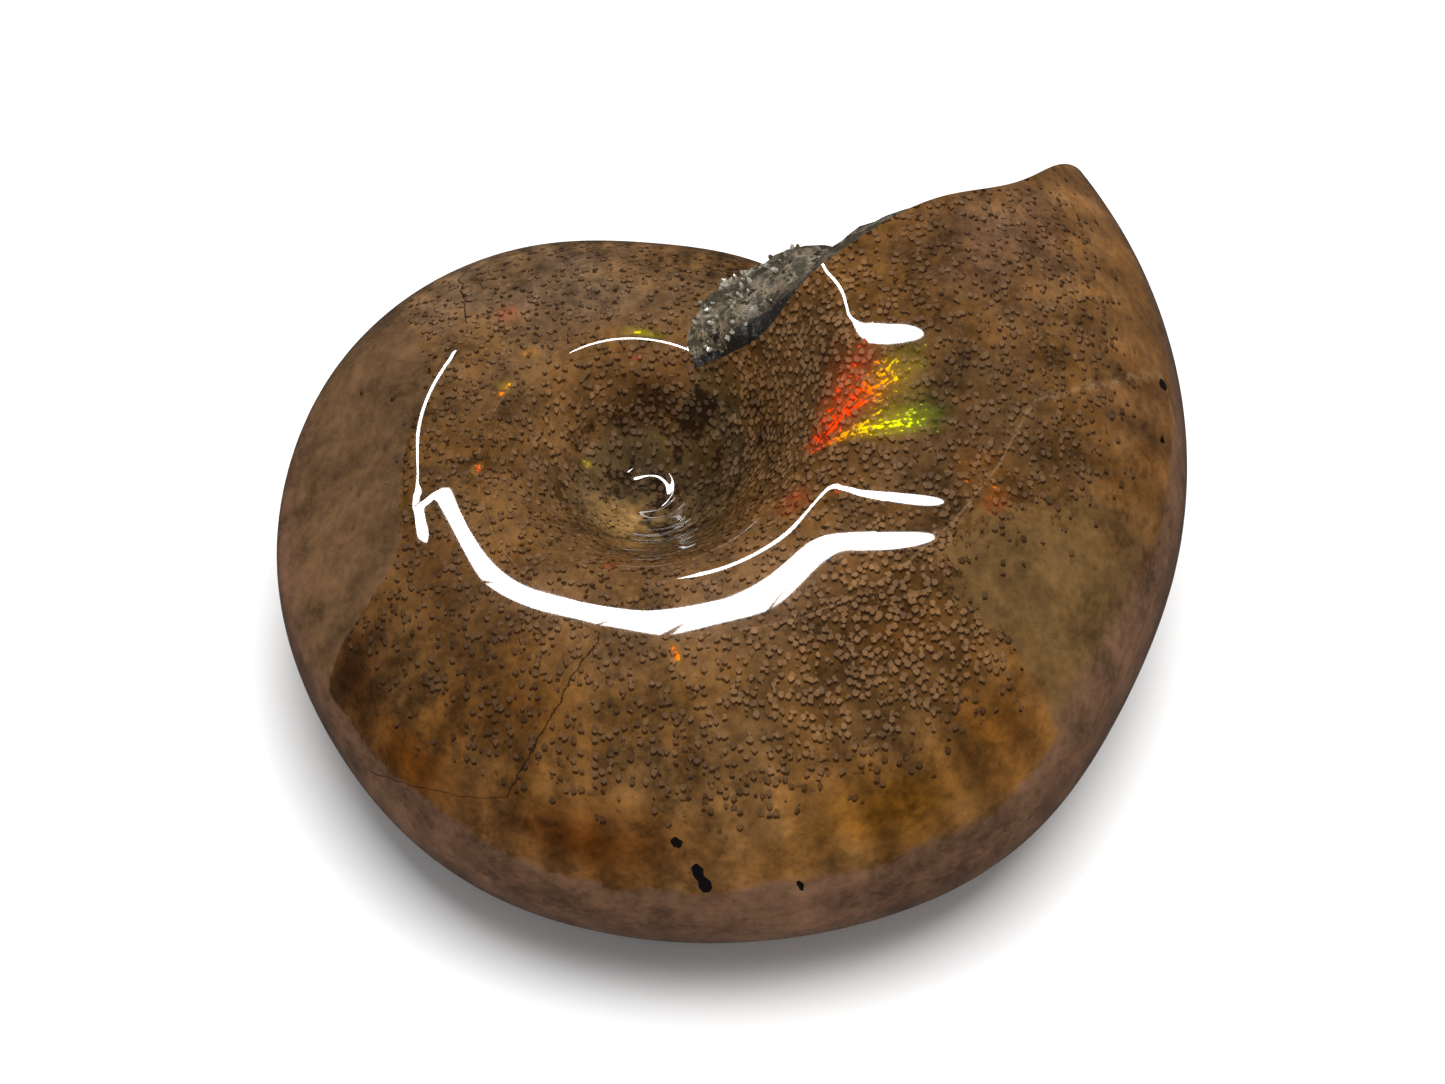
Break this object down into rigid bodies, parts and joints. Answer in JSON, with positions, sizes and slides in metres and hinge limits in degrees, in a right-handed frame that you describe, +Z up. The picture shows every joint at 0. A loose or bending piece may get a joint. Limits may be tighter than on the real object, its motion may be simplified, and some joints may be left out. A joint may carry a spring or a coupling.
{
  "type": "ammonite fossil",
  "caption": "Polished coiled ammonite fossil lying on its flank, with a deep umbilicus, a rough rock-filled mouth and a flat ground on one side.",
  "frame": {"origin": "middle of the box's underside, where the fossil rests on its flank", "axes": "+Z up, +X towards the mouth's side along the longest way across the coil, +Y away from the viewer's side"},
  "size_m": [0.0506, 0.0432, 0.0267],
  "materials": {
    "fossil_shell": "clear gloss polish over brown iridescent fossil shell, dark pits under the polish, dull rock in the mouth"
  },
  "bodies": {
    "root": {"ammonite": "fossil_shell"}
  },
  "joints": []
}
